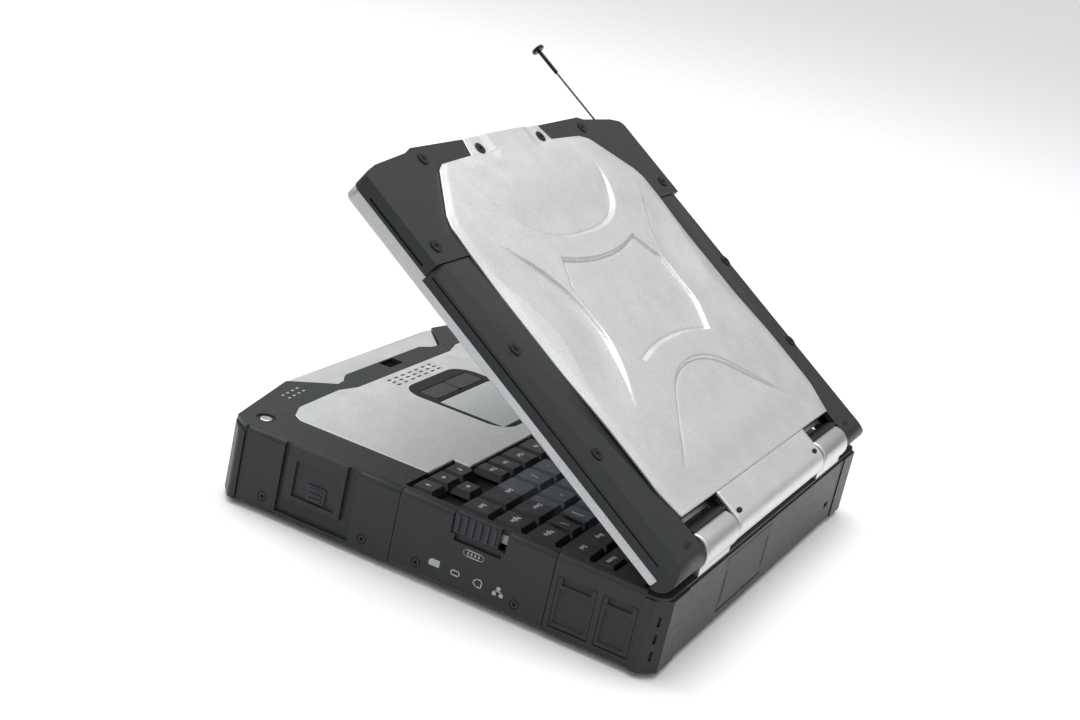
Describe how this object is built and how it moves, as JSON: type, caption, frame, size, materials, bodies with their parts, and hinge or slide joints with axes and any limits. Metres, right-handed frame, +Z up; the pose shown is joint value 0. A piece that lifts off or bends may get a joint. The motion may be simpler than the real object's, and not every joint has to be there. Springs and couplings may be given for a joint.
{
  "type": "rugged laptop computer",
  "caption": "Rugged clamshell laptop, lid part open: thick dark base with side bays and a carrying handle, silver ribbed lid on stout hinges, pull-out antenna.",
  "frame": {"origin": "bottom centre of the whole object's box, on the plane the rubber feet stand on", "axes": "+Z up, +Y from the user's side towards the hinges, +X to the user's right"},
  "size_m": [0.302, 0.268, 0.2228],
  "materials": {
    "silver_paint": "fine metallic satin paint",
    "grip_silver": "satin",
    "dark_guard": "fine moulded grain",
    "base_dark": "fine moulded grain",
    "port_cover_rubber": "matte",
    "frame_metal": "as cast",
    "knuckle_satin": "satin",
    "steel": "machined",
    "dark_screws": "black oxide",
    "latch_plastic": "satin",
    "key_black": "fine satin",
    "tray_black": "matte",
    "pad_grey": "fine matte",
    "pad_buttons": "satin",
    "button_bright": "gloss",
    "feet_rubber": "matte",
    "lcd": "dark panel",
    "cover_glass": "clear",
    "board_green": "solder mask",
    "heat_metal": "milled",
    "module_case": "brushed",
    "battery_black": "satin",
    "connector_dark": "satin",
    "speaker_black": "matte",
    "antenna_metal": "polished",
    "antenna_tip_black": "satin"
  },
  "bodies": {
    "base": {"palm_rest_plate": "silver_paint", "deck": "base_dark", "usb_panel": "base_dark", "card_slot_panel": "base_dark", "rear_panel": "base_dark", "front_corner_guards": "base_dark", "rear_corner_guards": "base_dark", "base_frame": "frame_metal", "bottom_cover": "frame_metal", "hinge_knuckles": "knuckle_satin", "keyboard_tray": "tray_black", "touchpad_surround": "tray_black", "touchpad": "pad_grey", "rubber_feet": "feet_rubber", "mainboard": "board_green", "memory_modules": "board_green", "heat_spreader": "heat_metal", "connector_block": "connector_dark", "rear_connectors": "connector_dark", "speaker": "speaker_black"},
    "lid": {"display_bezel": "silver_paint", "screen_panel": "lcd", "screen_glass": "cover_glass", "lid_frame": "frame_metal", "lid_side_guards": "dark_guard", "lid_corner_guards": "dark_guard", "lid_back_cover": "silver_paint", "lid_screws": "dark_screws", "hinge_shafts": "steel"},
    "lid_latch": {"lid_latch": "latch_plastic"},
    "antenna": {"antenna_rod": "antenna_metal", "antenna_tip": "antenna_tip_black"},
    "handle": {"handle_grip": "grip_silver", "handle_arms": "steel"},
    "drive_caddy": {"drive_bay_cover": "base_dark", "drive_cover_screws": "dark_screws", "hard_drive": "module_case"},
    "drive_latch": {"drive_latch_knob": "latch_plastic"},
    "battery": {"battery_bay_cover": "base_dark", "battery_pack": "battery_black"},
    "battery_latch": {"battery_latch_knob": "latch_plastic"},
    "media_bay": {"media_bay_cover": "base_dark", "optical_drive": "module_case"},
    "connector_cover": {"connector_cover": "base_dark", "connector_cover_screws": "dark_screws"},
    "connector_latch": {"connector_latch": "latch_plastic"},
    "usb_cover_front": {"usb_cover_front": "port_cover_rubber"},
    "usb_cover_rear": {"usb_cover_rear": "port_cover_rubber"},
    "card_slot_cover": {"card_slot_cover": "port_cover_rubber"},
    "rear_port_cover": {"rear_port_cover": "port_cover_rubber"},
    "power_button": {"power_button": "button_bright"},
    "touchpad_button_left": {"touchpad_button_left": "pad_buttons"},
    "touchpad_button_right": {"touchpad_button_right": "pad_buttons"},
    "space_row_keys": {"space_row_keys": "key_black"},
    "shift_row_keys": {"shift_row_keys": "key_black"},
    "home_row_keys": {"home_row_keys": "key_black"},
    "upper_row_keys": {"upper_row_keys": "key_black"},
    "number_row_keys": {"number_row_keys": "key_black"},
    "function_row_keys": {"function_row_keys": "key_black"},
    "arrow_keys": {"arrow_keys": "key_black"}
  },
  "joints": [
    {"name": "lid_hinge", "type": "hinge", "parent": "base", "child": "lid", "pos_m": [0, 0.1245, 0.053], "axis": [-1, 0, 0], "range_deg": [-33.4, 101.6]},
    {"name": "lid_latch_slide", "type": "slide", "parent": "lid", "child": "lid_latch", "axis": [0, -0.8348, 0.5505], "range_m": [-0.0025, 0], "stiffness_N_per_m": 300},
    {"name": "antenna_slide", "type": "slide", "parent": "lid", "child": "antenna", "axis": [0, -0.8348, 0.5505], "range_m": [-0.054, 0]},
    {"name": "handle_slide", "type": "slide", "parent": "base", "child": "handle", "axis": [0, -1, 0], "range_m": [0, 0.022]},
    {"name": "drive_slide", "type": "slide", "parent": "base", "child": "drive_caddy", "axis": [1, 0, 0], "range_m": [0, 0.11]},
    {"name": "drive_latch_slide", "type": "slide", "parent": "drive_caddy", "child": "drive_latch", "axis": [0, 0, 1], "range_m": [0, 0.009]},
    {"name": "battery_slide", "type": "slide", "parent": "base", "child": "battery", "axis": [-1, 0, 0], "range_m": [0, 0.095]},
    {"name": "battery_latch_slide", "type": "slide", "parent": "battery", "child": "battery_latch", "axis": [0, 0, 1], "range_m": [0, 0.009]},
    {"name": "media_slide", "type": "slide", "parent": "base", "child": "media_bay", "axis": [-1, 0, 0], "range_m": [0, 0.135]},
    {"name": "connector_cover_hinge", "type": "hinge", "parent": "base", "child": "connector_cover", "pos_m": [0.14835, 0.0305, 0.00605], "axis": [0, 1, 0], "range_deg": [0, 95]},
    {"name": "connector_latch_slide", "type": "slide", "parent": "connector_cover", "child": "connector_latch", "axis": [0, 1, 0], "range_m": [0, 0.004]},
    {"name": "usb_cover_front_hinge", "type": "hinge", "parent": "base", "child": "usb_cover_front", "pos_m": [0.1493, 0.087, 0.0084], "axis": [0, 1, 0], "range_deg": [0, 100]},
    {"name": "usb_cover_rear_hinge", "type": "hinge", "parent": "base", "child": "usb_cover_rear", "pos_m": [0.1493, 0.1096, 0.0084], "axis": [0, 1, 0], "range_deg": [0, 100]},
    {"name": "card_slot_cover_hinge", "type": "hinge", "parent": "base", "child": "card_slot_cover", "pos_m": [-0.1493, 0.0975, 0.0164], "axis": [0, -1, 0], "range_deg": [0, 100]},
    {"name": "rear_port_cover_hinge", "type": "hinge", "parent": "base", "child": "rear_port_cover", "pos_m": [0.036, 0.13115, 0.00955], "axis": [-1, 0, 0], "range_deg": [0, 100]},
    {"name": "power_button_press", "type": "slide", "parent": "base", "child": "power_button", "axis": [0, 0, -1], "range_m": [0, 0.0009], "stiffness_N_per_m": 150},
    {"name": "touchpad_button_left_press", "type": "slide", "parent": "base", "child": "touchpad_button_left", "axis": [0, 0, -1], "range_m": [0, 0.0006], "stiffness_N_per_m": 400},
    {"name": "touchpad_button_right_press", "type": "slide", "parent": "base", "child": "touchpad_button_right", "axis": [0, 0, -1], "range_m": [0, 0.0006], "stiffness_N_per_m": 400},
    {"name": "space_row_keys_press", "type": "slide", "parent": "base", "child": "space_row_keys", "axis": [0, 0, -1], "range_m": [0, 0.0016], "stiffness_N_per_m": 2500, "springref_m": -0.0003},
    {"name": "shift_row_keys_press", "type": "slide", "parent": "base", "child": "shift_row_keys", "axis": [0, 0, -1], "range_m": [0, 0.0016], "stiffness_N_per_m": 2500, "springref_m": -0.0003},
    {"name": "home_row_keys_press", "type": "slide", "parent": "base", "child": "home_row_keys", "axis": [0, 0, -1], "range_m": [0, 0.0016], "stiffness_N_per_m": 2500, "springref_m": -0.0003},
    {"name": "upper_row_keys_press", "type": "slide", "parent": "base", "child": "upper_row_keys", "axis": [0, 0, -1], "range_m": [0, 0.0016], "stiffness_N_per_m": 2500, "springref_m": -0.0003},
    {"name": "number_row_keys_press", "type": "slide", "parent": "base", "child": "number_row_keys", "axis": [0, 0, -1], "range_m": [0, 0.0016], "stiffness_N_per_m": 2500, "springref_m": -0.0003},
    {"name": "function_row_keys_press", "type": "slide", "parent": "base", "child": "function_row_keys", "axis": [0, 0, -1], "range_m": [0, 0.0016], "stiffness_N_per_m": 2500, "springref_m": -0.0003},
    {"name": "arrow_keys_press", "type": "slide", "parent": "base", "child": "arrow_keys", "axis": [0, 0, -1], "range_m": [0, 0.0016], "stiffness_N_per_m": 2500, "springref_m": -0.0003}
  ]
}
